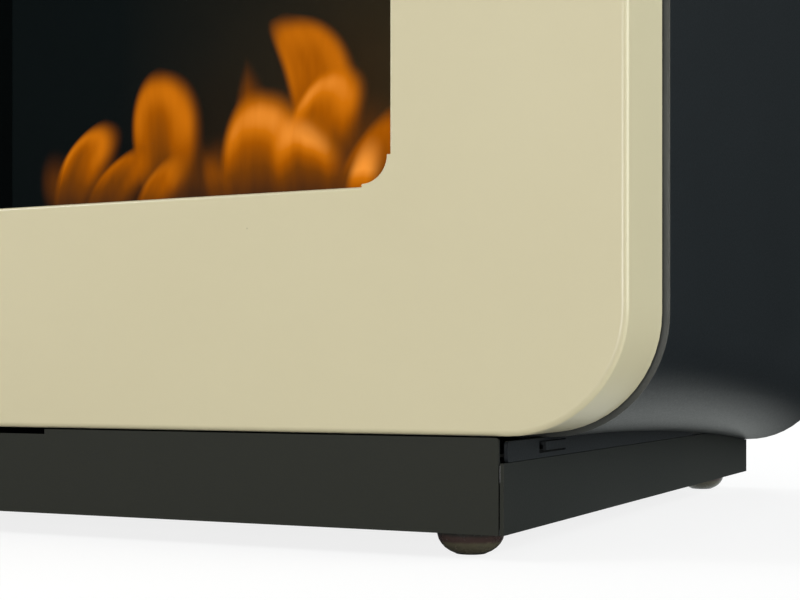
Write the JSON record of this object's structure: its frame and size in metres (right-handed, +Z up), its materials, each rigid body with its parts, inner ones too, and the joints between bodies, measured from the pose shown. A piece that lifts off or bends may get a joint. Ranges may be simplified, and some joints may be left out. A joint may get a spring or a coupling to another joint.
{
  "type": "bioethanol fireplace",
  "caption": "Free-standing box fireplace with a wide rounded front frame around a deep firebox, a sliding-lid liquid-fuel burner, a wrapped casing and a recessed plinth on small round feet.",
  "frame": {"origin": "on the floor, under the middle of the body's bounding box", "axes": "+Z up; the firebox opens towards -Y; +X is to the viewer's right when facing the opening"},
  "size_m": [0.5034, 0.345, 0.4611],
  "materials": {
    "cream_lacquer": "satin",
    "casing_paint": "satin powder coat",
    "plinth_paint": "matt powder coat",
    "firebox_black": "matt heat-resistant",
    "inner_sheet": "galvanised",
    "burner_steel": "brushed",
    "wool": "fibrous",
    "foot_rubber": "smooth",
    "screw_steel": "blackened"
  },
  "bodies": {
    "fireplace": {"body_rail_left": "casing_paint", "body_rail_right": "casing_paint", "casing_hooks": "casing_paint", "casing_shell": "casing_paint", "feet": "foot_rubber", "firebox_back": "firebox_black", "firebox_collar": "inner_sheet", "firebox_side_left": "firebox_black", "firebox_side_right": "firebox_black", "firebox_top": "firebox_black", "foot_brackets": "inner_sheet", "frame_brackets": "inner_sheet", "frame_screws": "screw_steel", "front_bulkhead": "casing_paint", "front_frame": "cream_lacquer", "hearth_plate": "firebox_black", "heat_shield": "inner_sheet", "plinth_front": "plinth_paint", "plinth_rear": "plinth_paint", "plinth_side_left": "plinth_paint", "plinth_side_right": "plinth_paint", "rear_panel": "casing_paint", "rear_panel_screws": "screw_steel", "spill_tray": "inner_sheet", "support_channel_left": "inner_sheet", "support_channel_right": "inner_sheet", "top_deflector": "inner_sheet"},
    "burner": {"burner_tank": "burner_steel", "burner_top_plate": "burner_steel", "ceramic_wool": "wool", "lid_guides": "burner_steel", "wool_mesh": "burner_steel"},
    "regulator": {"lid_eyelet": "burner_steel", "regulator_lid": "burner_steel"}
  },
  "joints": [
    {"name": "burner_lift", "type": "slide", "parent": "fireplace", "child": "burner", "axis": [0, 0, 1], "range_m": [0, 0.06]},
    {"name": "regulator_slide", "type": "slide", "parent": "burner", "child": "regulator", "axis": [0, 1, 0], "range_m": [0, 0.044]}
  ]
}
